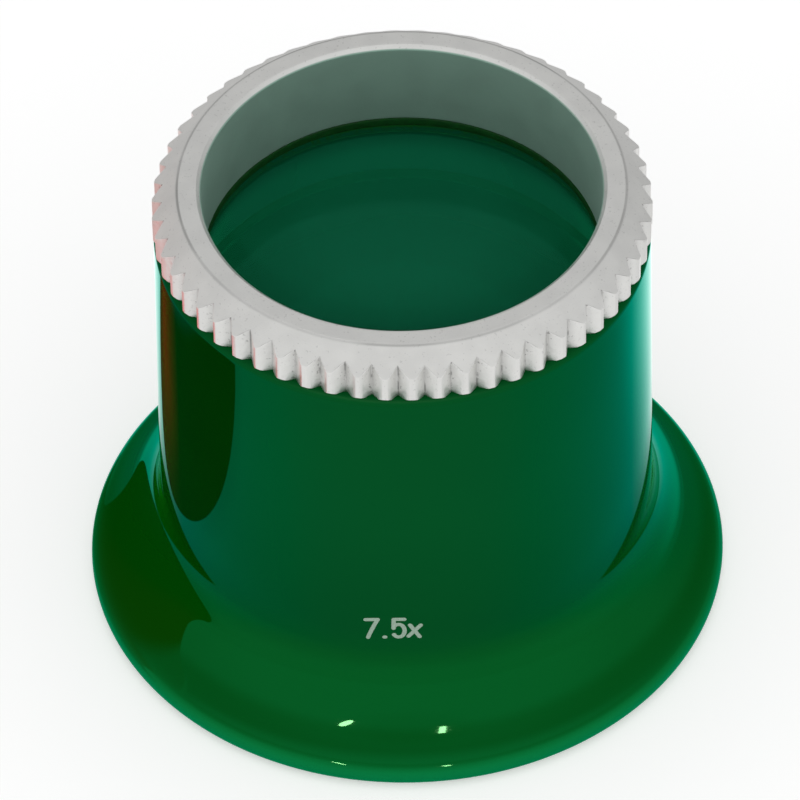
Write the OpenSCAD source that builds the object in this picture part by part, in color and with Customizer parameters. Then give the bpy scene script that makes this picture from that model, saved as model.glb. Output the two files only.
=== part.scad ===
// Watchmaker loupe with a screwed lens ring, standing on its eyecup rim.
// Origin at the centre of the rim's rest plane, +Z up the optical axis, front at -Y. Millimetres.

/* [Eyecup] */
// Outer diameter of the rim that goes round the eye
eyecup_d = 38; // [35:0.5:42]
// Height of the moulded body, from the rest plane to its top edge
body_h = 27.55; // [25:0.05:34]
// Wall of the eyecup and of the lower barrel
wall = 1.7; // [1.3:0.1:2.2]
// Radius of the outside sweep between barrel and rim
flare_r = 6.2; // [5:0.1:9]
// Depth of the flat land that the rim rests on
land_depth = 0.05; // [0.03:0.01:0.1]

/* [Barrel] */
// Outer diameter at the top edge
barrel_d = 28.6; // [28:0.1:31]
// Draft of the outside, in degrees
barrel_draft = 1; // [0.2:0.1:1.5]
// Rounding of the top outer edge
barrel_edge_r = 0.4; // [0.2:0.05:0.6]

/* [Lens ring] */
// Diameter of the bore
ring_bore_d = 23; // [21:0.1:23.6]
// Outer diameter of the flat face round the bore
ring_face_d = 25.7; // [24.6:0.1:26.6]
// Diameter over the serrations
ring_tip_d = 28.7; // [28:0.1:30]
// Height of the serrated flange
flange_h = 3.1; // [2.4:0.1:4.5]
// Drop of the sloping face from the flat face to the serrations
flange_slope_h = 1.3; // [0.8:0.1:1.6]
// Length of the sleeve under the flange
sleeve_len = 2.6; // [2.4:0.1:4]
// Bevel of the bore's top edge
bore_bevel = 0.25; // [0.1:0.05:0.4]
// Bevel of the flange's lower outer edge
flange_bevel = 0.2; // [0.1:0.05:0.4]

/* [Serrations] */
// Number of serrations round the flange
serration_count = 58; // [40:1:72]
// Depth of the serrations
serration_depth = 0.6; // [0.4:0.05:0.7]
// Width of the flat left on each serration
serration_crest = 0.25; // [0.15:0.05:0.4]
// Turn of the first serration about the axis, in degrees
serration_turn = -1.53; // [-3:0.01:3]

/* [Thread] */
// Advance of the lens ring in one turn
thread_pitch = 0.75; // [0.65:0.05:0.9]
// Outer diameter of the ring's thread
thread_d = 25.9; // [25.7:0.1:26.1]
// Height of the thread ridges
thread_h = 0.4; // [0.35:0.01:0.42]
// Width of the flat on top of a ridge
thread_crest = 0.1; // [0.06:0.01:0.14]
// Slope of a ridge's sides, in degrees from square
thread_flank = 30; // [26:1:32]
// Gap between a ridge's top and the wall that faces it
thread_gap = 0.12; // [0.1:0.01:0.16]
// Plain length at each end of the thread
thread_relief = 0.35; // [0.3:0.01:0.45]

/* [Lenses] */
// Diameter of both lenses
lens_d = 24.6; // [24.2:0.1:24.8]
// Thickness of a lens at its edge
lens_edge = 1.2; // [0.8:0.1:1.6]
// Radius of the rounded lens face
lens_curve_r = 34.9; // [30:0.1:60]
// Width of the flat land ground round the rounded face
lens_land = 0.7; // [0.65:0.05:0.9]
// Distance between the tops of the two rounded faces
lens_gap = 0.75; // [0.4:0.05:1.5]
// Gap between a lens and its seat
seat_gap = 0.1; // [0.06:0.01:0.15]

/* [Cushion, spacer and ledge] */
// Thickness of the cushion between the ring and the upper lens
cushion_h = 0.65; // [0.4:0.05:1]
// Rounding of the cushion's edges
cushion_edge_r = 0.15; // [0.05:0.01:0.18]
// Wall of the spacer between the lenses
spacer_wall = 0.6; // [0.45:0.05:0.65]
// Inner diameter of the ledge under the lower lens
ledge_d = 22.4; // [20:0.1:23]
// Thickness of the ledge
ledge_h = 1.2; // [0.8:0.1:2]
// Height that the lens seat stands above the upper lens
seat_lip = 0.3; // [0.2:0.05:0.5]

/* [Hidden] */

// Faces round a full circle, the steps of a thread in one turn, and the points of a rounded corner
round_fn = 180;
thread_steps = 48;
corner_steps = 6;
// Depth that a ridge's foot is sunk into its wall
ridge_root = 0.15;
// Overlap of cutting shapes past a face
past = 1;

// Heights, from the rest plane up
flange_z = body_h;
ring_top_z = flange_z + flange_h;
sleeve_foot_z = flange_z - sleeve_len;
lens_top_z = sleeve_foot_z - cushion_h;
seat_top_z = lens_top_z + seat_lip;

// Lens stack
lens_r = lens_d / 2;
land_r = lens_r - lens_land;
dome_h = sphere_sag(land_r, lens_curve_r);
spacer_h = 2 * dome_h + lens_gap;
ledge_z = lens_top_z - 2 * lens_edge - spacer_h;
seat_r = lens_r + seat_gap;

// Thread: the ring's wall and ridge top, then the body's
ring_crest_r = thread_d / 2;
ring_root_r = ring_crest_r - thread_h;
body_crest_r = ring_root_r + thread_gap;
body_root_r = ring_crest_r + thread_gap;
thread_len = sleeve_len - 2 * thread_relief;
thread_turns = thread_len / thread_pitch;
thread_start_z = sleeve_foot_z + thread_relief;

// Rim bead, half the wall in radius, lowered by the rest land
bead_r = wall / 2;
bead_c = [eyecup_d / 2 - bead_r, bead_r - land_depth];

// Barrel's outer line: its top point, its normal, and the direction down it
barrel_top = [barrel_d / 2, body_h];
barrel_n = [cos(barrel_draft), sin(barrel_draft)];
barrel_dir = [sin(barrel_draft), -cos(barrel_draft)];
// Centre of the flare's sweep: flare_r off the barrel's line, and touching the bead
flare_c = flare_centre(barrel_top + flare_r * barrel_n, barrel_dir, bead_c, flare_r + bead_r);
barrel_foot = flare_c - flare_r * barrel_n;
barrel_inner_foot = barrel_foot - wall * barrel_n;
bead_dir = (bead_c - flare_c) / norm(bead_c - flare_c);

// Lead-in of the body's threaded mouth, and the slope under the ledge
mouth_bevel = 0.2;
ledge_r = ledge_d / 2;
ledge_foot_z = ledge_z - ledge_h;
ledge_slope_z = ledge_foot_z - (barrel_inner_r(ledge_foot_z) - ledge_r);

// Depth of a sphere's cap of radius r, cut from a sphere of radius big_r
function sphere_sag(r, big_r) = big_r - sqrt(big_r * big_r - r * r);

// Point on the line p + t * dir, nearest its start, that lies a distance d from c
function flare_centre(p, dir, c, d) =
    let (
        w = p - c,
        b = w * dir,
        t = -b - sqrt(b * b - (w * w - d * d))
    )
    p + t * dir;

// Barrel's outer and inner radius at a height above its foot
function barrel_outer_r(z) = barrel_top[0] + (barrel_top[1] - z) * tan(barrel_draft);
function barrel_inner_r(z) = barrel_outer_r(z) - wall / cos(barrel_draft);

// Points of a quarter circle about c, from angle a to a + 90
function corner(c, r, a) =
    [for (i = [0:corner_steps]) c + r * [cos(a + 90 * i / corner_steps), sin(a + 90 * i / corner_steps)]];

// Upright wall of the body from the flare to the top edge, with the ledge, lens seat and mouth inside it
module barrel_section() {
    edge_c = [barrel_outer_r(body_h - barrel_edge_r) - barrel_edge_r, body_h - barrel_edge_r];
    polygon(concat(
        [barrel_inner_foot, barrel_foot],
        corner(edge_c, barrel_edge_r, 0),
        [
            [body_root_r + mouth_bevel, body_h],
            [body_root_r, body_h - mouth_bevel],
            [body_root_r, seat_top_z],
            [seat_r, seat_top_z],
            [seat_r, ledge_z],
            [ledge_r, ledge_z],
            [ledge_r, ledge_foot_z],
            [barrel_inner_r(ledge_slope_z), ledge_slope_z]
        ]
    ));
}

// Swept flare between the barrel's foot and the rim bead
module flare_section() {
    reach = 2 * (flare_r + wall);
    difference() {
        intersection() {
            translate(flare_c) circle(r = flare_r + wall, $fn = 2 * round_fn);
            polygon([
                flare_c,
                flare_c - reach * barrel_n,
                flare_c - reach * barrel_n + reach * bead_dir,
                flare_c + reach * bead_dir
            ]);
        }
        translate(flare_c) circle(r = flare_r, $fn = 2 * round_fn);
    }
}

module body_section() {
    difference() {
        union() {
            barrel_section();
            flare_section();
            translate(bead_c) circle(r = bead_r, $fn = round_fn / 2);
        }
        translate([0, -past]) square([eyecup_d, past]);
    }
}

// Ridge of a right-hand thread: a helix of trapezia with its foot at foot_r and its top at crest_r
module thread_ridge(foot_r, root_r, crest_r, start_turn) {
    steps = round(thread_turns * thread_steps);
    half_crest = thread_crest / 2;
    half_foot = half_crest + abs(crest_r - root_r) * tan(thread_flank);
    inward = crest_r < foot_r;
    section = [
        [foot_r, -half_foot],
        [crest_r, -half_crest],
        [crest_r, half_crest],
        [foot_r, half_foot]
    ];
    n = len(section);
    points = [
        for (i = [0:steps], p = section)
            let (a = 360 * (i / thread_steps + start_turn))
            [p[0] * cos(a), p[0] * sin(a), p[1] + thread_start_z + thread_pitch * i / thread_steps]
    ];
    sides = [
        for (i = [0:steps - 1], j = [0:n - 1])
            let (a = i * n + j, b = i * n + (j + 1) % n)
            each [[a, b, b + n], [a, b + n, a + n]]
    ];
    last = steps * n;
    ends = [[2, 1, 0], [3, 2, 0], [last, last + 1, last + 2], [last, last + 2, last + 3]];
    faces = concat(sides, ends);
    polyhedron(points, inward ? [for (f = faces) [f[2], f[1], f[0]]] : faces);
}

module eyecup_body() {
    color([0.02, 0.33, 0.16]) union() {
        rotate_extrude($fn = round_fn) body_section();
        thread_ridge(body_root_r + ridge_root, body_root_r, body_crest_r, 0.5);
    }
}

// Flange and sleeve of the lens ring as one turned section
module ring_section() {
    polygon([
        [ring_bore_d / 2, sleeve_foot_z],
        [ring_root_r - flange_bevel, sleeve_foot_z],
        [ring_root_r, sleeve_foot_z + flange_bevel],
        [ring_root_r, flange_z],
        [ring_tip_d / 2 - flange_bevel, flange_z],
        [ring_tip_d / 2, flange_z + flange_bevel],
        [ring_tip_d / 2, ring_top_z - flange_slope_h],
        [ring_face_d / 2, ring_top_z],
        [ring_bore_d / 2 + bore_bevel, ring_top_z],
        [ring_bore_d / 2, ring_top_z - bore_bevel]
    ]);
}

// Outline of the serrations: grooves at the root radius, and flanks that meet outside the flange
module serration_outline() {
    half = 180 / serration_count;
    tip_r = ring_tip_d / 2;
    root = [tip_r - serration_depth, 0];
    crest_a = half - asin(serration_crest / 2 / tip_r);
    flank = tip_r * [cos(crest_a), sin(crest_a)] - root;
    along = root[0] * tan(half) / (flank[1] - flank[0] * tan(half));
    peak_r = norm(root + along * flank);
    polygon([
        for (i = [0:serration_count - 1])
            let (a = serration_turn + 2 * half * i)
            each [peak_r * [cos(a), sin(a)], root[0] * [cos(a + half), sin(a + half)]]
    ]);
}

module lens_ring() {
    color([0.78, 0.78, 0.76]) union() {
        intersection() {
            rotate_extrude($fn = round_fn) ring_section();
            translate([0, 0, sleeve_foot_z - past])
                linear_extrude(ring_top_z - sleeve_foot_z + 2 * past) serration_outline();
        }
        thread_ridge(ring_root_r - ridge_root, ring_root_r, ring_crest_r, 0);
    }
}

module lens_cushion() {
    inner = ring_bore_d / 2;
    r = cushion_edge_r;
    color([0.03, 0.16, 0.07]) rotate_extrude($fn = round_fn) polygon(concat(
        corner([lens_r - r, sleeve_foot_z - r], r, 0),
        corner([inner + r, sleeve_foot_z - r], r, 90),
        corner([inner + r, lens_top_z + r], r, 180),
        corner([lens_r - r, lens_top_z + r], r, 270)
    ));
}

// Plano-convex lens with its flat face at z = 0 and its rounded face up
module plano_convex_lens() {
    rotate_extrude($fn = round_fn) {
        square([lens_r, lens_edge]);
        intersection() {
            translate([0, lens_edge + dome_h - lens_curve_r]) circle(r = lens_curve_r, $fn = 4 * round_fn);
            square([land_r, lens_edge + 2 * dome_h]);
        }
    }
}

module upper_lens() {
    color([0.75, 0.9, 0.88, 0.4]) translate([0, 0, lens_top_z]) mirror([0, 0, 1]) plano_convex_lens();
}

module lower_lens() {
    color([0.75, 0.9, 0.88, 0.4]) translate([0, 0, ledge_z]) plano_convex_lens();
}

module lens_spacer() {
    z = ledge_z + lens_edge;
    color([0.02, 0.33, 0.16]) translate([0, 0, z]) rotate_extrude($fn = round_fn)
        translate([lens_r - spacer_wall, 0]) square([spacer_wall, spacer_h]);
}

eyecup_body();
lens_ring();
lens_cushion();
upper_lens();
lens_spacer();
lower_lens();
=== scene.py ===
# Watchmaker loupe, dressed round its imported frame: metres, +Z up the optical axis, front at -Y.
# Shapes are worked out in millimetres and become metres when they are put into a mesh.
import math

import bpy
import numpy as np
from mathutils import Matrix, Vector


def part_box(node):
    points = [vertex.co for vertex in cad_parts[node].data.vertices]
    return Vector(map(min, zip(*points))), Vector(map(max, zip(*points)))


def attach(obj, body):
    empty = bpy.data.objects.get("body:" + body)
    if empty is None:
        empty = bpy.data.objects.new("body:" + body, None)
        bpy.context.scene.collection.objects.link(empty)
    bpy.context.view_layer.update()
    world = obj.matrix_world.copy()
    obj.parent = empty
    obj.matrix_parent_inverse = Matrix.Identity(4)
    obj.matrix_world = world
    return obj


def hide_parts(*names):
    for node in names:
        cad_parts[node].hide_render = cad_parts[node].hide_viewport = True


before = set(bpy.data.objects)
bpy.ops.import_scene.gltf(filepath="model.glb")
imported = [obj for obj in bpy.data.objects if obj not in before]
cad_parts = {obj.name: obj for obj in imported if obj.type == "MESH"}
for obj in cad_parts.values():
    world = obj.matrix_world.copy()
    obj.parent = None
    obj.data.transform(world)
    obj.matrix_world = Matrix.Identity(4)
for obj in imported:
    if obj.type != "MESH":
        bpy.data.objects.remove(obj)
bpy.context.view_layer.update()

mm = 0.001
fullTurn = 2 * math.pi
print("frame loaded")


# Lowest and highest corner of a CAD node, in millimetres
def sizeOf(node):
    return [np.array(corner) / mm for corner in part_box(node)]


# Points on an arc: the centre plus the radius towards each angle, angles in degrees
def arc(centre, radius, first, last, count):
    angle = np.radians(np.linspace(first, last, count))
    return np.asarray(centre) + radius * np.stack([np.cos(angle), np.sin(angle)], axis=-1)


# Even points on a straight line from one point to another
def straight(first, last, count):
    return np.linspace(np.asarray(first, float), np.asarray(last, float), count)


# Rounded corners, many at once: each arc touches the two runs at radius / tan(half the angle) from its corner,
# and its points turn about the arc's centre in equal steps
def cornerArc(corner, before, after, radius, count=5):
    back = (before - corner) / np.linalg.norm(before - corner, axis=-1, keepdims=True)
    onward = (after - corner) / np.linalg.norm(after - corner, axis=-1, keepdims=True)
    half = np.arccos(np.sum(back * onward, axis=-1, keepdims=True)) / 2
    centre = corner + (back + onward) / (2 * np.cos(half)) * radius / np.sin(half)
    first = corner + back * radius / np.tan(half) - centre
    last = corner + onward * radius / np.tan(half) - centre
    swing = math.pi - 2 * half
    step = np.linspace(0, 1, count).reshape((count,) + (1,) * np.ndim(corner))
    return centre + (np.sin((1 - step) * swing) * first + np.sin(step * swing) * last) / np.sin(swing)


# An open outline through its corners, each inner one rounded by its own radius
def outline(corners, radii, count=5):
    corners = np.array(corners, float)
    inner = corners[1:-1]
    arcs = cornerArc(inner, corners[:-2], corners[2:], np.array(radii, float)[:, None], count)
    return np.concatenate([corners[:1], arcs.swapaxes(0, 1).reshape(-1, 2), corners[-1:]])


# The same outline with a point close to each end of every long run, so that its edges shade cleanly
def held(points, close=0.12):
    run = np.linalg.norm(np.diff(points, axis=0), axis=1)
    along = np.concatenate([[0], np.cumsum(run)])
    longRun = run > 4 * close
    at = np.unique(np.concatenate([along, along[:-1][longRun] + close, along[1:][longRun] - close]))
    return np.stack([np.interp(at, along, points[:, 0]), np.interp(at, along, points[:, 1])], axis=-1)


# Angles of evenly spaced columns round the axis, half a step off the X axis
def columnsRound(count):
    return (np.arange(count) + 0.5) * fullTurn / count


# Carries radius and height (rows by columns, or rows by 1) round the axis: x = r cos a, y = r sin a
def carriedRound(radius, height, angle):
    radius, height = np.broadcast_arrays(radius, height, np.zeros((1, len(angle))))[:2]
    return np.stack([radius * np.cos(angle), radius * np.sin(angle), height], axis=-1)


# Height of a thread's ridge over its wall: a trapezium round the helix height = start + pitch * turns
def ridge(angle, height, start, length, startTurn):
    turns = angle / fullTurn - startTurn
    whole = np.round((height - start) / thread["pitch"] - turns)
    turns = turns + whole
    off = np.abs(height - start - thread["pitch"] * turns)
    slope = math.tan(math.radians(thread["flank"]))
    full = np.clip((thread["crest"] / 2 + thread["height"] * slope - off) / slope, 0, thread["height"])
    end = np.clip(1 + np.minimum(turns, length / thread["pitch"] - turns) / thread["runOut"], 0, 1)
    return full * end


# Puts a grid of points into a mesh. Columns close round; rows close too, unless poles gives an end point for
# each end. The faces are turned over if the volume they hold comes out negative.
def skin(name, points, poles=None, values={}):
    rows, columns = points.shape[:2]
    index = np.arange(rows * columns).reshape(rows, columns)
    beside = np.roll(index, -1, axis=1)
    quads = np.stack([index, beside, np.roll(beside, -1, axis=0), np.roll(index, -1, axis=0)], axis=-1)
    places = points.reshape(-1, 3)
    if poles is None:
        faces = [quads.reshape(-1, 4)]
    else:
        places = np.concatenate([places, poles])
        foot = np.full(columns, rows * columns)
        fans = [[beside[0], index[0], foot], [index[-1], beside[-1], foot + 1]]
        faces = [quads[:-1].reshape(-1, 4)] + [np.stack(fan, axis=-1) for fan in fans]
    volume = 0
    for group in faces:
        for last in range(2, group.shape[1]):
            a, b, c = places[group[:, 0]], places[group[:, last - 1]], places[group[:, last]]
            volume += np.sum(a * np.cross(b, c)) / 6
    if volume < 0:
        faces = [group[:, ::-1] for group in faces]
    corners = np.concatenate([group.ravel() for group in faces]).astype(np.int32)
    sizes = np.concatenate([np.full(len(group), group.shape[1]) for group in faces])
    mesh = bpy.data.meshes.new(name)
    mesh.vertices.add(len(places))
    mesh.vertices.foreach_set("co", (places * mm).astype(np.float32).ravel())
    mesh.loops.add(len(corners))
    mesh.loops.foreach_set("vertex_index", corners)
    mesh.polygons.add(len(sizes))
    mesh.polygons.foreach_set("loop_start", (np.cumsum(sizes) - sizes).astype(np.int32))
    mesh.polygons.foreach_set("use_smooth", np.ones(len(sizes), bool))
    mesh.update(calc_edges=True)
    for label, value in values.items():
        value = np.broadcast_to(value, (rows, columns)).ravel()
        if poles is not None:
            value = np.concatenate([value, value[:1], value[-1:]])
        mesh.attributes.new(label, "FLOAT", "POINT").data.foreach_set("value", value.astype(np.float32))
    piece = bpy.data.objects.new(name, mesh)
    bpy.context.scene.collection.objects.link(piece)
    print(f"{name}: {sum(len(group) * (group.shape[1] - 2) for group in faces)} triangles, {abs(volume):.0f} mm3")
    return piece


# One number in a shader: each operator adds a Math node and gives its output as a new number
class Number:
    def __init__(self, maker, socket):
        self.maker = maker
        self.socket = socket

    def maths(self, operation, first, second=0.0):
        return self.maker.node("ShaderNodeMath", {"operation": operation}, {0: first, 1: second})

    def __add__(self, other):
        return self.maths("ADD", self, other)

    def __sub__(self, other):
        return self.maths("SUBTRACT", self, other)

    def __rsub__(self, other):
        return self.maths("SUBTRACT", other, self)

    def __mul__(self, other):
        return self.maths("MULTIPLY", self, other)

    __radd__ = __add__
    __rmul__ = __mul__

    def between(self, low, high):
        settings = {"interpolation_type": "SMOOTHSTEP"}
        return self.maker.node("ShaderNodeMapRange", settings, {"Value": self, "From Min": low, "From Max": high})


# Makes nodes in one tree: a node's settings come first, then the values or links of its sockets
class Maker:
    def __init__(self, tree):
        self.tree = tree

    def add(self, kind, settings={}, sockets={}):
        node = self.tree.nodes.new(kind)
        for label, setting in settings.items():
            setattr(node, label, setting)
        self.plug(node, sockets)
        return node

    def node(self, kind, settings={}, sockets={}, output=0):
        return Number(self, self.add(kind, settings, sockets).outputs[output])

    def numbers(self, kind, labels, sockets={}):
        node = self.add(kind, {}, sockets)
        return [Number(self, node.outputs[label]) for label in labels]

    def plug(self, node, sockets):
        for label, value in sockets.items():
            if isinstance(value, Number):
                self.tree.links.new(value.socket, node.inputs[label])
            else:
                node.inputs[label].default_value = value

    def place(self):
        return self.node("ShaderNodeTexCoord", output="Object")

    def grain(self, size, detail=3.0, stretch=(1, 1, 1)):
        scaled = self.node("ShaderNodeMapping", {}, {"Vector": self.place(), "Scale": stretch})
        return self.node("ShaderNodeTexNoise", {}, {"Vector": scaled, "Scale": 1 / (size * mm), "Detail": detail})

    def length(self, x, y):
        return self.node("ShaderNodeMath", {"operation": "SQRT"}, {0: x * x + y * y})

    def stored(self, label):
        return self.node("ShaderNodeAttribute", {"attribute_name": label}, output="Fac")

    def blend(self, share, first, second, how="MIX"):
        settings = {"data_type": "RGBA", "blend_type": how}
        return self.node("ShaderNodeMix", settings, {0: share, 6: first, 7: second}, output=2)

    def bump(self, height, depth, strength=1.0):
        return self.node("ShaderNodeBump", {}, {"Height": height, "Distance": depth * mm, "Strength": strength})


# A material with one Principled shader, whose fixed values are set on its own sockets
class Finish(Maker):
    def __init__(self, name, fixed):
        self.material = bpy.data.materials.new(name)
        self.material.use_nodes = True
        super().__init__(self.material.node_tree)
        self.shader = self.tree.nodes["Principled BSDF"]
        self.plug(self.shader, fixed)

    def cover(self, share, upper):
        sockets = {0: share, 1: Number(self, self.shader.outputs[0]), 2: upper}
        self.plug(self.tree.nodes["Material Output"], {"Surface": self.node("ShaderNodeMixShader", {}, sockets)})


def colour(rgb):
    return (*rgb, 1.0)


# Makes a piece part of the object: its material, the body that it rides on and the node that it stands for
def fit(piece, material, body, node=None):
    piece.data.materials.append(material)
    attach(piece, body)
    if node:
        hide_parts(node)
    return piece


# The screw thread that the ring and the eyecup share
thread = {
    "pitch": 0.75,
    "height": 0.4,
    "crest": 0.1,
    "flank": 30,  # degrees
    "relief": 0.35,  # plain length at each end
    "runOut": 0.06,  # share of a turn over which a ridge fades at its ends
    "gap": 0.12,  # ridge top to the wall that faces it
}

# Eyecup: barrel, flare and rim
eyecup = {
    "wall": 1.7,
    "flareRadius": 6.2,
    "restDepth": 0.05,  # depth of the flat land on the rim
    "barrelDiameter": 28.6,
    "draft": 1.0,  # degrees
    "edge": 0.4,
    "mouthBevel": 0.2,
    "seatGap": 0.1,
    "seatLip": 0.3,
    "ledgeRadius": 11.2,
    "ledgeHeight": 1.2,
    "columns": 288,
    "colour": (0.0060, 0.350, 0.0060),  # of the light that soaks in, on the barrel
    # painted glow: the flare low down and the rim are lighter, where light soaks through the thin wall
    "flarePaintedGlowColour": (0.0060, 0.660, 0.0060),
    "rimPaintedGlowColour": (0.0100, 0.950, 0.2700),
    # painted light: the inside is lighter, where light soaks through the wall
    "innerPaintedLightColour": (0.0060, 0.500, 0.1800),
    "innerPaintedGlow": (0.0020, 0.062, 0.029),  # painted glow: light that soaks through to the inside
    "glow": (5, 9),  # heights between which the flare's painted glow colour turns into the barrel's
    "rimReach": 0.32,  # how far in from the rim its painted glow reaches
    "gloss": 0.9,  # share of the tinted reflection
    "rimGloss": 0.12,  # and how much of it the rim lacks
    "glossColour": (0.0019, 0.062, 0.0200),  # reflection met head on
    "edgeColour": (0.39, 0.98, 0.88),  # and near the outline
}

ringLow, ringHigh = sizeOf("lens_ring")
bodyLow, bodyHigh = sizeOf("eyecup_body")
cushionLow, cushionHigh = sizeOf("lens_cushion")
upperLow, upperHigh = sizeOf("upper_lens")
lowerLow, lowerHigh = sizeOf("lower_lens")
spacerLow, spacerHigh = sizeOf("lens_spacer")

sleeveFoot = ringLow[2]
ringCrest = 12.95
threadStart = sleeveFoot + thread["relief"]
threadLength = bodyHigh[2] - sleeveFoot - 2 * thread["relief"]


# Outside of the body from the rest plane up: the rim's bead, the flare that sweeps into it, and the barrel.
# The flare's centre lies one flare radius off the barrel's line and a flare radius plus a bead radius from the bead's.
def eyecupOutside():
    draft = math.radians(eyecup["draft"])
    normal = np.array([math.cos(draft), math.sin(draft)])
    down = np.array([math.sin(draft), -math.cos(draft)])
    top = np.array([eyecup["barrelDiameter"] / 2, bodyHigh[2]])
    beadRadius = eyecup["wall"] / 2
    bead = np.array([bodyHigh[0] - beadRadius, beadRadius - eyecup["restDepth"]])
    flare = eyecup["flareRadius"]
    start = top + flare * normal - bead
    reach = -start @ down - math.sqrt((start @ down) ** 2 - start @ start + (flare + beadRadius) ** 2)
    centre = bead + start + reach * down
    meet = math.degrees(math.atan2(*(bead - centre)[::-1])) % 360
    land = math.degrees(math.asin(bead[1] / beadRadius))
    return {
        "centre": centre,
        "bead": bead,
        "beadRadius": beadRadius,
        "meet": meet,
        "land": land,
        "normal": normal,
        "top": top,
    }


def eyecupSide(shape):
    height, edge, draft = bodyHigh[2], eyecup["edge"], eyecup["draft"]
    lean = math.tan(math.radians(draft))
    return np.concatenate([
        arc(shape["bead"], shape["beadRadius"], -shape["land"], shape["meet"] - 180, 22),
        arc(shape["centre"], eyecup["flareRadius"], shape["meet"], 180 + draft, 48)[1:],
        arc([shape["top"][0] + edge * lean - edge, height - edge], edge, draft, 90, 8),
    ])


def eyecupProfile(shape):
    wall, flare = eyecup["wall"], eyecup["flareRadius"]
    centre, bead, meet, draft = shape["centre"], shape["bead"], shape["meet"], eyecup["draft"]
    height = bodyHigh[2]
    lean = math.tan(math.radians(draft))
    innerWall = lambda z: shape["top"][0] + (height - z) * lean - wall / math.cos(math.radians(draft))
    root = ringCrest + thread["gap"]
    seat = upperHigh[0] + eyecup["seatGap"]
    seatTop = upperHigh[2] + eyecup["seatLip"]
    ledge, ledgeTop = eyecup["ledgeRadius"], lowerLow[2]
    ledgeFoot = ledgeTop - eyecup["ledgeHeight"]
    slopeFoot = ledgeFoot - (innerWall(ledgeFoot) - ledge)
    bevel = eyecup["mouthBevel"]
    threaded = straight([root, height - bevel - 0.1], [root, seatTop + 0.1], 56)
    mouth = outline([[root + bevel + 0.3, height], [root + bevel, height], [root, height - bevel], threaded[0]],
                    [0.06, 0.06])
    inside = outline(
        [
            threaded[-1],
            [root, seatTop],
            [seat, seatTop],
            [seat, ledgeTop],
            [ledge, ledgeTop],
            [ledge, ledgeFoot],
            [innerWall(slopeFoot), slopeFoot],
            centre - (flare + wall) * shape["normal"],
        ],
        [0.06, 0.1, 0.06, 0.1, 0.15, 0.3],
    )
    hollow = [
        arc(centre, flare + wall, 180 + draft, meet, 40)[1:],
        arc(bead, shape["beadRadius"], meet - 360, shape["land"] - 180, 16)[1:],
    ]
    return held(np.concatenate([eyecupSide(shape), mouth, threaded[1:-1], inside, *hollow]))


def makeEyecup():
    shape = eyecupOutside()
    profile = eyecupProfile(shape)
    angle = columnsRound(eyecup["columns"])
    radius, height = profile[:, :1], profile[:, 1:]
    onThread = np.abs(radius - ringCrest - thread["gap"]) < 0.01
    radius = radius - onThread * ridge(angle, height, threadStart, threadLength, 0.5)
    # 1 on the walls of the hollow, fading over the rim's bead and the top edge
    inner = np.clip((bodyHigh[2] + 3 - height) / 3, 0, 1) * (np.arange(len(profile))[:, None] > topRow(profile))
    # painted glow where light soaks through the rim: exp(-distance from the edge / reach)
    rim = np.exp((profile[:, :1] - bodyHigh[0]) / eyecup["rimReach"])
    values = {"hollow": inner, "rim": rim}
    piece = skin("eyecup_body_shell", carriedRound(radius, height, angle), values=values)
    return fit(piece, greenPlastic(), "eyecup", "eyecup_body")


# Row at which the outline turns over the top edge into the mouth
def topRow(profile):
    return int(np.argmax(profile[:, 1] >= bodyHigh[2] - 1e-6)) + 2


# Glossy green plastic: a soaked-in colour under a tinted reflection, with faint mould ripple and fine dull specks;
# painted light where light soaks through the wall: lighter low on the flare, at the rim and inside, with a painted
# glow inside
def greenPlastic():
    if "green_gloss_plastic" in bpy.data.materials:
        return bpy.data.materials["green_gloss_plastic"]
    finish = Finish("green_gloss_plastic", {"Specular IOR Level": 0.0})
    cloud = finish.grain(6.0).between(0.3, 0.7)
    z = finish.numbers("ShaderNodeSeparateXYZ", range(3), {0: finish.place()})[2]
    rim = finish.stored("rim")
    low, high = eyecup["glow"]
    outer = finish.blend(cloud, colour(eyecup["colour"]), colour([1.06 * c for c in eyecup["colour"]]))
    # painted glow: lighter low on the flare and at the rim
    outer = finish.blend(z.between(low * mm, high * mm), colour(eyecup["flarePaintedGlowColour"]), outer)
    outer = finish.blend(rim, outer, colour(eyecup["rimPaintedGlowColour"]))
    # painted light: the inside walls are lighter than the outside
    inner = finish.blend(cloud, colour(eyecup["innerPaintedLightColour"]), colour([0.9 * c for c in eyecup["innerPaintedLightColour"]]))
    speck = finish.grain(0.12, 2.0).between(0.62, 0.75)
    ripple = finish.bump(finish.grain(2.4, 1.0), 0.0015)
    hollow = finish.stored("hollow")
    atTop = z.between((bodyHigh[2] - 0.5) * mm, (bodyHigh[2] - 0.2) * mm)
    roughness = 0.025 + 0.02 * cloud + 0.05 * speck * (1 - hollow) + 0.1 * hollow + 0.4 * atTop
    finish.plug(finish.shader, {
        "Base Color": finish.blend(hollow, outer, inner),
        # painted glow on the inside walls
        "Emission Color": finish.blend(hollow, (0, 0, 0, 1), colour(eyecup["innerPaintedGlow"])),
        "Emission Strength": 1 / (1 - eyecup["gloss"]),
        "Roughness": roughness,
        "Normal": ripple,
    })
    finish.cover(eyecup["gloss"] - eyecup["rimGloss"] * rim, finish.node("ShaderNodeBsdfPrincipled", {}, {
        "Metallic": 1.0,
        "Base Color": colour(eyecup["glossColour"]),
        "Specular Tint": colour(eyecup["edgeColour"]),
        "Roughness": roughness,
        "Normal": ripple,
    }))
    return finish.material


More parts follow.
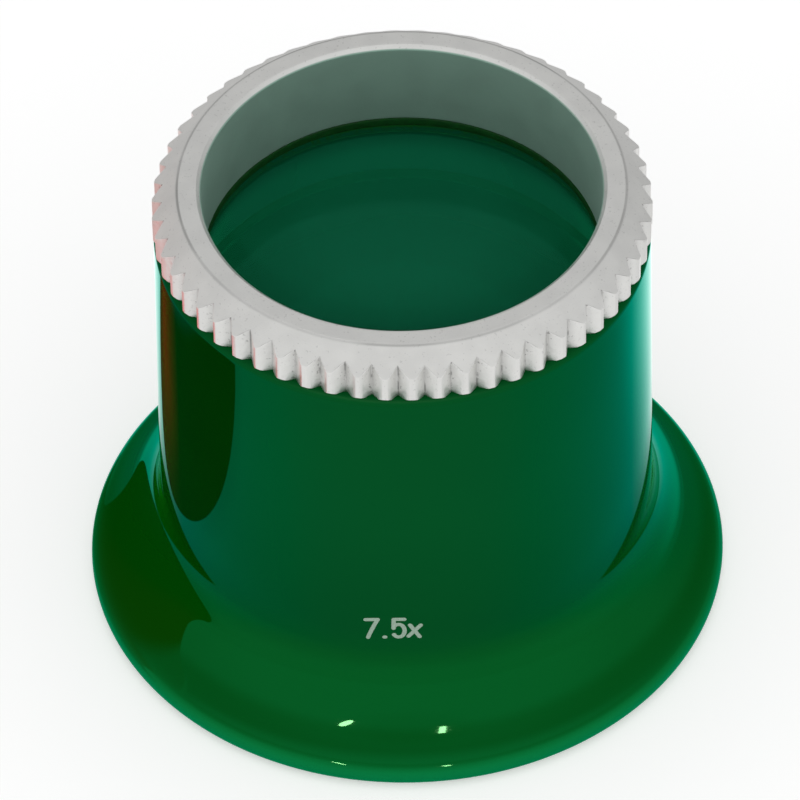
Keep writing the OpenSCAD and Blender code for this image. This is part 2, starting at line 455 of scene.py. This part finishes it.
# Lens ring: bore, flat face, sloping face with serrations, and a threaded sleeve
ring = {
    "bore": 11.5,
    "faceRadius": 12.85,
    "slope": 1.3,  # drop of the sloping face
    "tipRadius": 14.35,
    "depth": 0.6,  # of a serration
    "crest": 0.25,  # flat left on each serration
    "count": 58,
    "turn": -1.53,  # of the first serration, in degrees
    "boreBevel": 0.25,
    "flangeBevel": 0.2,
    "sleeveRadius": 12.55,
    "line": (0.07, 0.03),  # half width and depth of the turned line between the two faces
    "soft": 0.06,  # rounding of the serrations' top edges
    "colour": (0.82, 0.82, 0.80),
    "borePaintedLightColour": (0.42, 0.60, 0.52),  # painted light: green light from the lens, painted into its blasted wall
    "seed": 58,
}


# Plan of the serrations. Within a serration, columns stand at set shares of the way from its middle to its root.
# A flank is a straight line from the crest's corner to the root, so its radius is
# cross(corner, root) / (sin of the angles between them), as for any line that misses the axis.
def serrations():
    half = math.pi / ring["count"]
    share = np.array([-1, -0.95, -0.72, -0.47, -0.26, -0.19, -0.12, 0.12, 0.19, 0.26, 0.47, 0.72, 0.95])
    chance = np.random.default_rng(ring["seed"])
    sway = chance.normal(0, 1, (4, ring["count"], 1))
    crestHalf = ring["crest"] / 2 / ring["tipRadius"] * (1 + 0.16 * sway[0])
    rootRadius = ring["tipRadius"] - ring["depth"] * (1 + 0.04 * sway[1])
    tipRadius = ring["tipRadius"] - 0.015 * np.abs(sway[2])
    offset = np.abs(share * half)
    away = np.clip((offset - crestHalf) / (half - crestHalf), 0, 1)
    sine = np.sin(half - crestHalf)
    radius = tipRadius * rootRadius * sine / (
        rootRadius * np.sin(np.clip(half - offset, 0, half - crestHalf)) +
        tipRadius * np.sin(np.clip(offset - crestHalf, 0, None))
    )
    middle = np.arange(ring["count"])[:, None] * 2 * half + math.radians(ring["turn"])
    angle = middle + share * half + 0.03 * half * sway[3] * (1 - away)
    # both sides of a groove share its root
    radius[:, 0] = (rootRadius[:, 0] + np.roll(rootRadius[:, 0], 1)) / 2
    return angle.ravel(), radius.ravel(), away.ravel()


def makeRing():
    angle, rim, away = serrations()
    bore, top, foot = ring["bore"], ringHigh[2], ringLow[2]
    flangeFoot = bodyHigh[2]
    face, tip, bevel, soft = ring["faceRadius"], ring["tipRadius"], ring["flangeBevel"], ring["soft"]
    sleeve = ring["sleeveRadius"]
    coneHeight = lambda r: top - ring["slope"] * (r - face) / (tip - face)
    still = lambda points: np.repeat(points[:, None, :], len(angle), axis=1)
    between = lambda a, b, shares: a + (b - a) * np.asarray(shares)[:, None, None]
    at = lambda r, z: np.stack(np.broadcast_arrays(r, z), axis=-1)

    # sleeve, from the bore's foot out and up to the flange's underside
    threaded = straight([sleeve, foot + 0.3], [sleeve, flangeFoot - 0.12], 44)
    inFoot = outline([[bore, foot + 1], [bore, foot], [sleeve - bevel, foot], [sleeve, foot + bevel], threaded[0]],
                     [0.08, 0.05, 0.05])
    underside = outline([threaded[-1], [sleeve, flangeFoot], [13.4, flangeFoot]], [0.05])
    # serrated rim: its underside, bevel, upright side and top edge follow the plan's radius
    inset = np.minimum(rim, tip - bevel)
    lowCorner = at(rim, flangeFoot + rim - inset)
    bottomCorner = at(inset - 0.02, flangeFoot)
    topCorner = at(rim, coneHeight(rim))
    topEdge = cornerArc(topCorner, lowCorner, at(face, top + 0 * rim), soft, 6)
    side = between(lowCorner + [0, 0.03], topEdge[0], [0, 0.05, 0.3, 0.6, 0.9, 0.97])
    # sloping face in to the turned line, a shallow V between it and the flat face
    halfLine, lineDepth = ring["line"]
    lineOuter = at(face + halfLine + 0 * rim, coneHeight(face + halfLine))
    cone = between(topEdge[-1], lineOuter, [0.04, 0.12, 0.3, 0.5, 0.7, 0.85, 0.95])
    boreBevel = ring["boreBevel"]
    inTop = outline(
        [
            lineOuter[0],
            [face, top - lineDepth],
            [face - halfLine, top],
            [bore + boreBevel, top],
            [bore, top - boreBevel],
            [bore, top - 1],
        ],
        [0.02, 0.03, 0.05, 0.05],
    )
    wall = straight([bore, top - 1.5], [bore, foot + 1.5], 8)
    blocks = [
        still(held(inFoot)[:-1]),
        still(threaded),
        still(held(underside)[1:]),
        bottomCorner[None],
        lowCorner[None],
        side,
        topEdge,
        cone,
        still(held(inTop)),
        still(wall),
    ]
    grid = np.concatenate(blocks)
    radius, height = grid[..., 0], grid[..., 1]
    onThread = np.abs(radius - sleeve) < 0.005
    radius = radius + onThread * ridge(angle % fullTurn, height, threadStart, threadLength, 0.0)
    # how deep in a groove each point is, only on the serrated rim
    starts = np.cumsum([0] + [len(block) for block in blocks])
    rows = np.arange(len(grid))[:, None]
    onRim = (rows >= starts[3]) & (rows < starts[7])
    groove = onRim * away
    piece = skin("lens_ring_turned", carriedRound(radius, height, angle), values={"groove": groove})
    return fit(piece, turnedAluminium(), "ring", "lens_ring")


# Matte aluminium: fine blasted grain, faint turning marks, darker in the turned line and at the foot of some grooves,
# painted shade deeper in the grooves and painted green light in the bore
def turnedAluminium():
    finish = Finish("matte_turned_aluminium", {"Metallic": 1.0})
    x, y, z = finish.numbers("ShaderNodeSeparateXYZ", range(3), {0: finish.place()})
    radius = finish.length(x, y)
    mottle = finish.grain(1.6, 4.0).between(0.35, 0.65)
    fine = finish.grain(0.09, 3.0)
    speck = finish.grain(0.16, 2.0).between(0.64, 0.72)
    offLine = finish.node("ShaderNodeMath", {"operation": "ABSOLUTE"}, {0: radius - ring["faceRadius"] * mm})
    onTop = z.between((ringHigh[2] - 0.2) * mm, (ringHigh[2] - 0.1) * mm)
    line = (1 - offLine.between(0.02 * mm, 0.11 * mm)) * onTop
    groove = finish.stored("groove")
    torn = finish.grain(0.35, 4.0) * groove.between(0.03, 0.3)
    root = groove.between(0.88, 1.0) * (0.25 + 0.75 * finish.grain(0.9).between(0.5, 0.62))
    pits = groove.between(0.3, 0.9) * finish.grain(0.2, 3.0).between(0.60, 0.68)
    dirtAndShade = line * (0.2 + 0.35 * finish.grain(7.0, 2.0).between(0.42, 0.62)) + 0.9 * root + 0.6 * pits + 0.25 * speck
    # painted shade: darker the deeper a point lies in a groove
    dirtAndShade = dirtAndShade + 0.22 * groove.between(0.35, 0.95)
    # painted light: the bore's wall takes the green of the light from the lens
    inBore = 1 - radius.between((ring["bore"] + 0.02) * mm, (ring["bore"] + 0.1) * mm)
    dark = [0.40 * c for c in ring["colour"]]
    clean = finish.blend(mottle, colour(ring["colour"]), colour([1.05 * c for c in ring["colour"]]))
    finish.plug(finish.shader, {
        "Base Color": finish.blend(inBore, finish.blend(dirtAndShade, clean, colour(dark)), colour(ring["borePaintedLightColour"])),
        "Roughness": 0.40 + 0.06 * mottle + 0.05 * fine + 0.35 * inBore,
        "Normal": finish.bump(fine + 5 * torn, 0.006),
    })
    return finish.material


# Cushion between the ring's foot and the upper lens
cushion = {"edge": 0.15, "columns": 192, "colour": (0.001, 0.055, 0.005)}


# A closed ring of rectangular section with rounded corners, from its box and its inner radius
def ringProfile(inner, low, high, edge):
    middle = (low[2] + high[2]) / 2
    corners = [[inner, middle], [inner, low[2]], [high[0], low[2]], [high[0], high[2]], [inner, high[2]], [inner, middle]]
    return held(outline(corners, [edge] * 4)[:-1], 0.1)


def makeCushion():
    profile = ringProfile(ring["bore"], cushionLow, cushionHigh, cushion["edge"])
    points = carriedRound(profile[:, :1], profile[:, 1:], columnsRound(cushion["columns"]))
    return fit(skin("lens_cushion_ring", points), softRubber(), "cushion", "lens_cushion")


def softRubber():
    finish = Finish("soft_green_rubber", {"Specular IOR Level": 0.3})
    dust = finish.grain(0.3, 4.0).between(0.4, 0.75)
    fine = finish.grain(0.08)
    finish.plug(finish.shader, {
        "Base Color": finish.blend(dust, colour(cushion["colour"]), colour([1.5 * c for c in cushion["colour"]])),
        "Roughness": 0.6 + 0.2 * dust,
        "Normal": finish.bump(fine, 0.006),
    })
    return finish.material


# The two lenses, each with one flat and one rounded face
lens = {
    "curveRadius": 34.9,
    "land": 0.7,  # width of the flat ground round the rounded face
    "edge": 1.2,
    "bevel": 0.12,
    "columns": 160,
    "index": 1.52,
    "colour": (0.80, 0.98, 0.93),
    "coating": (0.025, 0.20, 0.13),
    "coatingIndex": 1.75,  # for the mirrored share
    # the ground edge's dark green is a painted reflection of the seat round it
    "edgeColour": (0.006, 0.12, 0.02),
    "edgePaintedGlow": (0.0030, 0.028, 0.004),  # painted glow: light that the glass carries to its edge
}


# Rounded face up: up the edge and in over the land, then the sphere's cap; up is 1 or -1 for the way it faces
def makeLens(name, node, flatHeight, up, radius):
    cap = radius - lens["land"]
    rise = lens["curveRadius"] - math.sqrt(lens["curveRadius"] ** 2 - cap**2)
    swing = math.degrees(math.asin(cap / lens["curveRadius"]))
    centre = [0, lens["edge"] + rise - lens["curveRadius"]]
    dome = arc(centre, lens["curveRadius"], 90 - swing, 90, 40)[:-1]
    rim = outline([[0.4, 0], [radius, 0], [radius, lens["edge"]], dome[0]], [lens["bevel"]] * 2, 4)
    profile = np.concatenate([held(rim, 0.2)[:-1], dome])
    profile[:, 1] = flatHeight + up * profile[:, 1]
    angle = columnsRound(lens["columns"])
    poles = np.array([[0, 0, flatHeight], [0, 0, flatHeight + up * (lens["edge"] + rise)]])
    ground = (profile[:, :1] > cap + 0.02) & (np.abs(profile[:, 1:] - flatHeight) > 0.1)
    points = carriedRound(profile[:, :1], profile[:, 1:], angle)
    piece = skin(name, points, poles, {"ground": ground})
    return fit(piece, lensGlass(), "eyecup", node)


# Coated glass: light passes or is mirrored as the angle says, the mirrored part in the coating's colour. The ground
# edge doesn't let light pass; its dark green is a painted reflection of the seat, and it has a painted glow.
def lensGlass():
    if "coated_glass" in bpy.data.materials:
        return bpy.data.materials["coated_glass"]
    finish = Finish("coated_glass", {"Specular IOR Level": 0.0})
    fine = finish.grain(0.05)
    finish.plug(finish.shader, {
        "Base Color": finish.blend(fine, colour(lens["edgeColour"]), colour([1.3 * c for c in lens["edgeColour"]])),
        "Roughness": 0.7,
        "Emission Color": colour(lens["edgePaintedGlow"]),
        "Emission Strength": 1.0,
    })
    clear = finish.node("ShaderNodeMixShader", {}, {
        0: finish.node("ShaderNodeFresnel", {}, {"IOR": lens["coatingIndex"]}),
        1: finish.node("ShaderNodeBsdfRefraction", {}, {
            "Color": colour(lens["colour"]), "Roughness": 0.0, "IOR": lens["index"]}),
        2: finish.node("ShaderNodeBsdfGlossy", {}, {"Color": colour(lens["coating"]), "Roughness": 0.0}),
    })
    finish.cover(1 - finish.stored("ground"), clear)
    return finish.material


# Spacer between the lenses, in the body's plastic
spacer = {"inner": 11.7, "edge": 0.12, "columns": 192}


def makeSpacer():
    profile = ringProfile(spacer["inner"], spacerLow, spacerHigh, spacer["edge"])
    points = carriedRound(profile[:, :1], profile[:, 1:], columnsRound(spacer["columns"]))
    # painted shade: darker towards the top, under the upper lens, with less of the inside's painted glow
    lower = np.clip((spacerHigh[2] - profile[:, 1:]) / (spacerHigh[2] - spacerLow[2]) / 0.45, 0, 1)
    piece = skin("lens_spacer_ring", points, values={"hollow": 0.45 + 0.55 * lower})
    return fit(piece, greenPlastic(), "eyecup", "lens_spacer")


# Magnification figure, pad printed on the front of the barrel
figure = {
    "middle": 266.45,  # azimuth in degrees
    "foot": 8.34,  # height of the strokes' lower ends
    "tall": 1.03,
    "bow": 0.036,  # the print was flat, so its ends droop on the round barrel
    "bowMiddle": 0.8,
    "stroke": 0.26,
    "proud": 0.014,
    "colour": (0.42, 0.56, 0.45),
}


# A point that slides from the first point to the last along a curve pulled towards the middle one
def pulled(first, middle, last, count):
    t = np.linspace(0, 1, count)[:, None]
    return (1 - t) ** 2 * np.array(first) + 2 * t * (1 - t) * np.array(middle) + t**2 * np.array(last)


# A rounded ribbon on the barrel: a flat oval section carried along the stroke, drawn in to a point at both ends.
# Half width = w sqrt(1 - e^2), where e runs from 0 to 1 over the round end.
def makeStroke(name, path, outside, material):
    half = figure["stroke"] / 2
    run = np.concatenate([[0], np.cumsum(np.linalg.norm(np.diff(path, axis=0), axis=1))])
    cap = half * (1 - np.cos(np.linspace(0.12, math.pi / 2, 7)))
    at = np.concatenate([cap - half, np.linspace(0, run[-1], 26)[1:-1], run[-1] + half - cap[::-1]])
    ahead = (path[-1] - path[-2]) / np.linalg.norm(path[-1] - path[-2])
    behind = (path[0] - path[1]) / np.linalg.norm(path[0] - path[1])
    line = np.stack([np.interp(at, run, path[:, k]) for k in range(2)], axis=-1)
    line = line + np.clip(-at, 0, None)[:, None] * behind + np.clip(at - run[-1], 0, None)[:, None] * ahead
    heading = np.gradient(line, at, axis=0)
    heading = heading / np.linalg.norm(heading, axis=1, keepdims=True)
    across = np.stack([-heading[:, 1], heading[:, 0]], axis=-1)
    beyond = np.clip(np.maximum(-at, at - run[-1]), 0, half * 0.999) / half
    width = half * np.sqrt(1 - beyond**2)
    around = np.arange(12) * fullTurn / 12
    flat = line[:, None] + (width[:, None] * np.cos(around))[..., None] * across[:, None]
    lift = figure["proud"] * np.clip(width / half, 0.2, 1)[:, None] * np.sin(around)
    def onBarrel(flat, lift):
        droop = figure["bow"] * (flat[..., 0] - figure["bowMiddle"]) ** 2
        height = figure["foot"] + figure["tall"] * flat[..., 1] - droop
        radius = np.interp(height, outside[:, 1], outside[:, 0])
        angle = math.radians(figure["middle"]) + flat[..., 0] / radius
        radius = radius + lift
        return np.stack([radius * np.cos(angle), radius * np.sin(angle), height], axis=-1)
    ends = np.stack([path[0] + behind * half, path[-1] + ahead * half])
    piece = skin(name, onBarrel(flat, lift), onBarrel(ends, np.zeros(2)))
    return fit(piece, material, "eyecup")


def makeFigure():
    profile = eyecupProfile(eyecupOutside())
    outside = profile[: topRow(profile) - 2]
    material = printInk()
    strokes = {
        "seven_bar": straight([-1.59, 1.45], [-0.88, 1.45], 8),
        "seven_stem": pulled([-0.88, 1.45], [-1.20, 0.80], [-1.46, 0], 20),
        "point": straight([-0.50, 0.01], [-0.46, 0.01], 3),
        "five_bar": straight([0.66, 1.45], [0.054, 1.45], 8),
        "five_stem": straight([0.054, 1.45], [0.035, 0.72], 8),
        "five_bowl": bowl(),
        "times_fall": straight([0.99, 0.97], [1.54, 0.02], 8),
        "times_rise": straight([1.61, 0.96], [0.90, 0.07], 8),
    }
    for name, path in strokes.items():
        makeStroke("figure_" + name, path, outside, material)


# The five's bowl: an upright oval arc
def bowl():
    return np.array([0.33, 0.52]) + arc([0, 0], 1, 150, -142, 40) * [0.345, 0.52]


def printInk():
    finish = Finish("pale_print_ink", {"Specular IOR Level": 0.3})
    worn = finish.grain(0.09, 4.0).between(0.35, 0.7)
    finish.plug(finish.shader, {
        "Base Color": finish.blend(worn, colour(figure["colour"]), colour([0.82 * c for c in figure["colour"]])),
        "Roughness": 0.5 + 0.2 * worn,
        "Normal": finish.bump(worn, 0.002),
    })
    return finish.material


# Camera: it looks at the origin from the front and above, then pitches, yaws and rolls a little
camera = {
    "distance": 409.567,
    "elevation": 47.2113,
    "pitch": 1.2614,
    "yaw": -0.0427,
    "roll": 0.8944,
    "lens": 305.389,
    "sensor": 36,
}


def makeCamera():
    elevation, pitch, yaw, roll = (math.radians(camera[k]) for k in ("elevation", "pitch", "yaw", "roll"))
    place = camera["distance"] * cameraHeading()
    ahead, right = -place / camera["distance"], np.array([1.0, 0, 0])
    up = np.cross(right, ahead)
    ahead, up = math.cos(pitch) * ahead + math.sin(pitch) * up, math.cos(pitch) * up - math.sin(pitch) * ahead
    ahead, right = math.cos(yaw) * ahead + math.sin(yaw) * right, math.cos(yaw) * right - math.sin(yaw) * ahead
    right, up = math.cos(roll) * right - math.sin(roll) * up, math.sin(roll) * right + math.cos(roll) * up
    data = bpy.data.cameras.new("camera")
    data.lens, data.sensor_width, data.clip_start, data.clip_end = camera["lens"], camera["sensor"], 0.01, 50
    eye = bpy.data.objects.new("camera", data)
    rows = np.stack([right, up, -ahead, place * mm], axis=-1)
    eye.matrix_world = Matrix([*rows.tolist(), [0, 0, 0, 1]])
    bpy.context.scene.collection.objects.link(eye)
    bpy.context.scene.camera = eye


# Stage: a pale floor, a light tent with a dim band under its roof, and two things that only reflections or the inside
# of the
# loupe see: a red loupe that stands beside it, its light and shade painted, and a dark disc of painted shade under it
stage = {
    "floorSize": 2500,
    "floorColour": (0.92, 0.92, 0.92),
    "floorLift": 0.41,  # brings the lit floor up to white in the picture
    "tent": 0.93,  # level of the tent's walls and of the far floor in reflections
    "side": 0.17,  # how much less it is to the left and right
    "backWall": 0.32,  # how much less the back wall has than those, at its foot
    "backFloor": (1.00, -0.10),  # how much more the floor behind has, close to the loupe and far from it
    "band": 0.28,
    "roof": 0.42,
    "hood": 0.10,  # how much darker it is round the camera
    "foot": (0.45, 0.30, 0.20),  # level of the floor's painted shadow at a loupe's foot and its two steps up from there
    "besidePlace": (-38.4, 5.6),
    # colours that the red loupe beside gives off, its light and shade painted into them
    "besideFootColour": (0.10, 0.02, 0.01),
    "besideColour": (1.00, 0.015, 0.01),
    "besideTopColour": (0.62, 0.46, 0.44),
    "besideRingColour": (0.64, 0.60, 0.58),
    "shadeDiscRadius": 17.2,
    "shadeDiscHeight": 0.05,
    "shadeDiscColour": (0.003, 0.045, 0.018),
}


# A flat shape on the floor, from its outline
def floorShape(name, points, height, material):
    places = np.column_stack([np.array(points, float), np.full(len(points), height)]) * mm
    mesh = bpy.data.meshes.new(name)
    mesh.from_pydata(places.tolist(), [], [list(range(len(points)))])
    mesh.materials.append(material)
    shape = bpy.data.objects.new(name, mesh)
    bpy.context.scene.collection.objects.link(shape)
    return shape


# Level of the floor in reflections, from the distance to a loupe's axis: a painted shadow, dark at its foot, even from
# 34 mm on
def shaded(radius):
    start, near, far = stage["foot"]
    return start + near * radius.between(18.5 * mm, 22.5 * mm) + far * radius.between(21 * mm, 34 * mm)


# How the light falls off from the front to the sides, and then changes towards the back
def turned(y, back):
    return y.between(0.05, 0.7) * back - y.between(-0.6, 0.05) * stage["side"]


def makeFloor():
    material = bpy.data.materials.new("pale_floor")
    material.use_nodes = True
    maker = Maker(material.node_tree)
    maker.tree.nodes.clear()
    labels = ["Is Camera Ray", "Is Transmission Ray", "Is Glossy Ray"]
    seen, through, mirrored = maker.numbers("ShaderNodeLightPath", labels)
    matte = maker.node("ShaderNodeBsdfDiffuse", {}, {"Color": colour(stage["floorColour"])})
    glow = maker.node("ShaderNodeEmission", {}, {"Strength": (seen + through) * stage["floorLift"]})
    lit = maker.node("ShaderNodeAddShader", {}, {0: matte, 1: glow})
    x, y = maker.numbers("ShaderNodeSeparateXYZ", range(3), {0: maker.place()})[:2]
    besideX, besideY = stage["besidePlace"]
    radius = maker.length(x, y)
    own, beside = shaded(radius), shaded(maker.length(x - besideX * mm, y - besideY * mm))
    outward = maker.node("ShaderNodeVectorMath", {"operation": "NORMALIZE"}, {0: maker.place()})
    y = maker.numbers("ShaderNodeSeparateXYZ", range(3), {0: outward})[1]
    closeBack, farBack = stage["backFloor"]
    back = closeBack + radius.between(30 * mm, 60 * mm) * (farBack - closeBack)
    # painted shadows of this loupe and of the red loupe beside, on the floor that reflections show
    level = own * (0.5 + 0.5 * beside) * (stage["tent"] + turned(y, back))
    even = maker.node("ShaderNodeEmission", {}, {"Strength": level})
    maker.add("ShaderNodeOutputMaterial", {}, {"Surface": maker.node("ShaderNodeMixShader", {}, {
        0: mirrored, 1: lit, 2: even})})
    half = stage["floorSize"] / 2
    floorShape("floor", [[-half, -half], [half, -half], [half, half], [-half, half]], 0, material)


# The red loupe beside: the same outline with its ring screwed home. It lights nothing, shades nothing and isn't in
# the picture.
def makeBeside():
    outside = eyecupSide(eyecupOutside())
    face, tip, top = ring["faceRadius"], ring["tipRadius"], ringHigh[2]
    rim = outline([outside[-1], [tip, bodyHigh[2]], [tip, top - ring["slope"]], [face, top], [1, top]], [0.1] * 3)
    profile = np.concatenate([outside, rim])
    x, y = stage["besidePlace"]
    points = carriedRound(profile[:, :1], profile[:, 1:], columnsRound(128)) + [x, y, 0]
    beside = skin("red_loupe_beside", points, np.array([[x, y, outside[0, 1]], [x, y, top]]))
    material = bpy.data.materials.new("red_loupe_beside")
    material.use_nodes = True
    maker = Maker(material.node_tree)
    maker.tree.nodes.clear()
    # painted light and shade: it gives off these colours with no lamp on it, darker at the foot and paler towards the
    # top
    z = maker.numbers("ShaderNodeSeparateXYZ", range(3), {0: maker.place()})[2]
    onRing = z.between((bodyHigh[2] - 0.1) * mm, (bodyHigh[2] + 0.1) * mm)
    side = maker.blend(z.between(1 * mm, 5 * mm), colour(stage["besideFootColour"]), colour(stage["besideColour"]))
    side = maker.blend(z.between(11 * mm, 18 * mm), side, colour(stage["besideTopColour"]))
    paint = maker.blend(onRing, side, colour(stage["besideRingColour"]))
    maker.add("ShaderNodeOutputMaterial", {}, {"Surface": maker.node("ShaderNodeEmission", {}, {"Color": paint})})
    beside.data.materials.append(material)
    beside.visible_camera = beside.visible_diffuse = beside.visible_shadow = False
    beside.visible_transmission = beside.visible_volume_scatter = False


# painted shade: a dark disc on the floor under the loupe, which the camera doesn't see
def makeShadeDisc():
    angle = columnsRound(96)
    material = bpy.data.materials.new("painted_shade_disc")
    material.use_nodes = True
    maker = Maker(material.node_tree)
    maker.plug(maker.tree.nodes["Principled BSDF"], {
        "Base Color": colour(stage["shadeDiscColour"]), "Roughness": 0.8, "Specular IOR Level": 0.0,
    })
    outline = stage["shadeDiscRadius"] * np.stack([np.cos(angle), np.sin(angle)], axis=-1)
    shadeDisc = floorShape("painted_shade_disc", outline, stage["shadeDiscHeight"], material)
    shadeDisc.visible_camera = False


# Direction of the camera's place from the loupe
def cameraHeading():
    elevation = math.radians(camera["elevation"])
    return np.array([0, -math.cos(elevation), math.sin(elevation)])


def makeSky():
    world = bpy.data.worlds.new("sky")
    world.use_nodes = True
    bpy.context.scene.world = world
    maker = Maker(world.node_tree)
    maker.tree.nodes.clear()
    heading = maker.node("ShaderNodeTexCoord", output="Generated")
    y, z = maker.numbers("ShaderNodeSeparateXYZ", range(3), {0: heading})[1:]
    near = maker.node("ShaderNodeVectorMath", {"operation": "DOT_PRODUCT"}, {0: heading, 1: cameraHeading()}, "Value")
    hood = near.between(0.93, 0.995) * stage["hood"]
    # the roof slopes down to the back
    up = z + 0.32 * y
    roof = up.between(0.84, 0.98) * stage["roof"] - up.between(0.42, 0.68) * stage["band"]
    strength = stage["tent"] + turned(y, (0.85 * z - 1) * stage["backWall"]) + roof - hood
    back = maker.node("ShaderNodeBackground", {}, {"Color": (1, 1, 1, 1), "Strength": strength})
    maker.add("ShaderNodeOutputWorld", {}, {"Surface": back})


# Two small lamps that only the eyecup's gloss shows, each given by where it stands and its width and height
lamps = {
    "distance": 500,
    "colour": (1.0, 0.08, 0.10),
    "strip": {"azimuth": 244.8, "elevation": 44.3, "width": 72, "height": 20, "turn": -58, "level": 240,
              "shape": "ELLIPSE"},
    "spot": {"azimuth": 283.2, "elevation": 49.4, "width": 16, "height": 58, "turn": 0, "level": 300,
             "shape": "RECTANGLE"},
}


def makeLamps(receiver):
    for name in ("strip", "spot"):
        lamp = lamps[name]
        azimuth, elevation = math.radians(lamp["azimuth"]), math.radians(lamp["elevation"])
        flat = math.cos(elevation)
        towards = np.array([flat * math.cos(azimuth), flat * math.sin(azimuth), math.sin(elevation)])
        right = np.array([-math.sin(azimuth), math.cos(azimuth), 0])
        up = np.cross(towards, right)
        tilt = math.radians(lamp["turn"])
        right, up = math.cos(tilt) * right + math.sin(tilt) * up, math.cos(tilt) * up - math.sin(tilt) * right
        data = bpy.data.lights.new(name, "AREA")
        data.shape, data.size, data.size_y = lamp["shape"], lamp["width"] * mm, lamp["height"] * mm
        data.energy = lamp["level"] * data.size * data.size_y * math.pi
        data.color = lamps["colour"]
        light = bpy.data.objects.new(name, data)
        rows = np.stack([right, up, towards, towards * lamps["distance"] * mm], axis=-1)
        light.matrix_world = Matrix([*rows.tolist(), [0, 0, 0, 1]])
        light.visible_camera = light.visible_diffuse = light.visible_transmission = False
        bpy.context.scene.collection.objects.link(light)
        group = bpy.data.collections.new(name + "_lights")
        group.objects.link(receiver)
        light.light_linking.receiver_collection = group


makeCamera()
body = makeEyecup()
makeRing()
makeCushion()
makeLens("upper_lens_glass", "upper_lens", upperHigh[2], -1, upperHigh[0])
makeLens("lower_lens_glass", "lower_lens", lowerLow[2], 1, lowerHigh[0])
makeSpacer()
makeFigure()
print("pieces made")

makeFloor()
makeBeside()
makeShadeDisc()
makeSky()
makeLamps(body)
bpy.context.scene.view_settings.view_transform = "Standard"
print("stage made")
